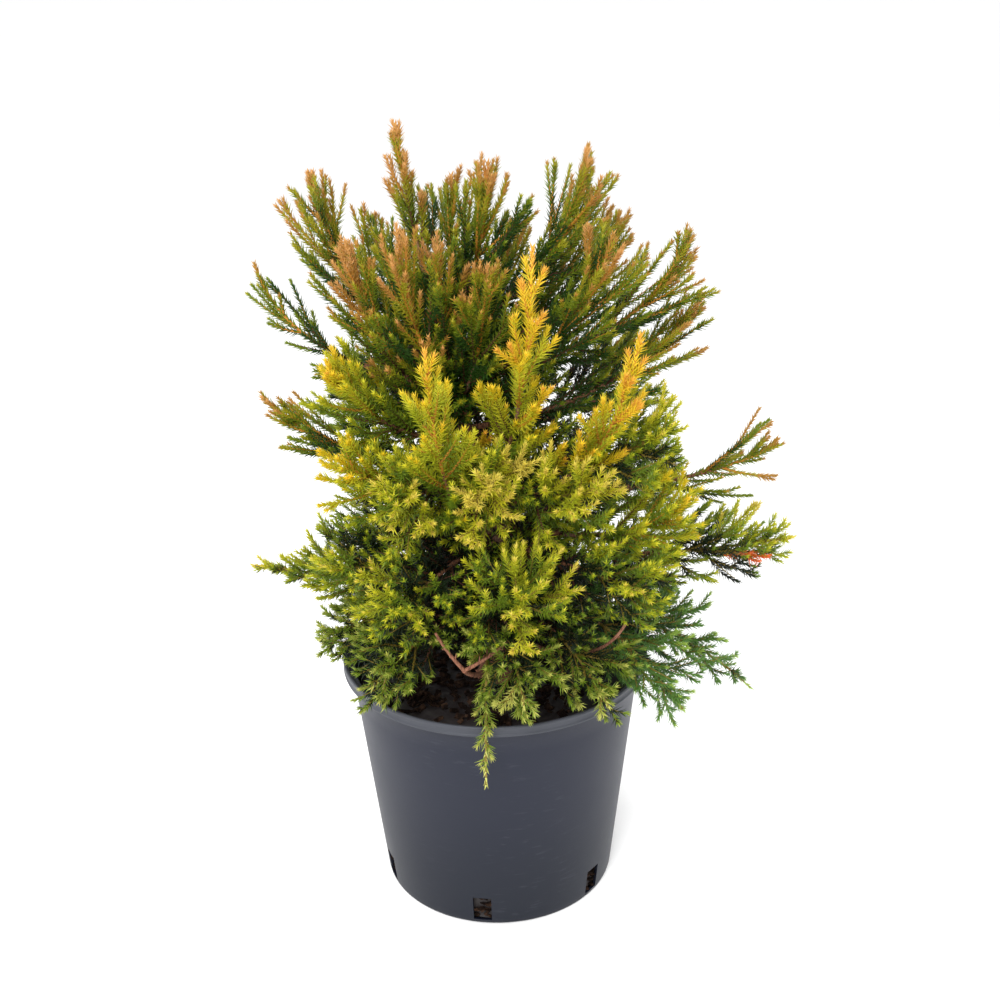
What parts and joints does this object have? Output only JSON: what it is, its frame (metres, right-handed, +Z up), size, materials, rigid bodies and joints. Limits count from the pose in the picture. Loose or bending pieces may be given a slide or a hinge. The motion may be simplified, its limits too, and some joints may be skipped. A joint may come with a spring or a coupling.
{
  "type": "potted cryptomeria",
  "caption": "Young bushy Japanese cedar with dense golden-green needle foliage on a short leaning trunk, in a plain black round nursery pot.",
  "frame": {"origin": "centre of the pot's flat underside, on the ground", "axes": "+Z up along the pot's axis, -Y towards the front, +X to the right as seen from the front"},
  "size_m": [0.4871, 0.3767, 0.6996],
  "materials": {
    "pot": "semi-matt moulded charcoal plastic",
    "potting_mix": "moist dark bark and peat",
    "bark": "thin reddish-brown bark",
    "foliage": "soft golden-green awl-shaped needles"
  },
  "bodies": {
    "root": {"bough_belly_left": "bark", "bough_belly_right": "bark", "bough_right_plume": "bark", "foliage_belly_back": "foliage", "foliage_belly_back_left": "foliage", "foliage_belly_back_right": "foliage", "foliage_belly_front": "foliage", "foliage_belly_front_left": "foliage", "foliage_belly_front_middle": "foliage", "foliage_belly_front_right": "foliage", "foliage_belly_left": "foliage", "foliage_belly_right": "foliage", "foliage_belly_right_back": "foliage", "foliage_brown_left": "foliage", "foliage_brown_right": "foliage", "foliage_crest_back": "foliage", "foliage_crest_back_left": "foliage", "foliage_crest_back_right": "foliage", "foliage_crest_far_right": "foliage", "foliage_crest_left": "foliage", "foliage_crest_middle": "foliage", "foliage_crest_right": "foliage", "foliage_drooping_shoot": "foliage", "foliage_fan_left": "foliage", "foliage_flank_back": "foliage", "foliage_flank_back_left": "foliage", "foliage_flank_front": "foliage", "foliage_flank_front_centre": "foliage", "foliage_flank_front_left": "foliage", "foliage_flank_front_middle": "foliage", "foliage_flank_front_right": "foliage", "foliage_flank_left": "foliage", "foliage_flank_left_back": "foliage", "foliage_flank_right": "foliage", "foliage_flank_right_back": "foliage", "foliage_gold_front_left": "foliage", "foliage_gold_middle": "foliage", "foliage_gold_right": "foliage", "foliage_heart_back": "foliage", "foliage_heart_front": "foliage", "foliage_heart_left": "foliage", "foliage_heart_middle": "foliage", "foliage_heart_right": "foliage", "foliage_leader": "foliage", "foliage_low_back": "foliage", "foliage_low_back_left": "foliage", "foliage_low_front": "foliage", "foliage_low_front_left": "foliage", "foliage_low_front_right": "foliage", "foliage_low_left": "foliage", "foliage_low_left_back": "foliage", "foliage_low_right": "foliage", "foliage_low_right_back": "foliage", "foliage_low_right_front": "foliage", "foliage_right_plume": "foliage", "foliage_right_spray": "foliage", "foliage_shoulder_left": "foliage", "pot": "pot", "potting_mix": "potting_mix", "trunk": "bark"}
  },
  "joints": []
}
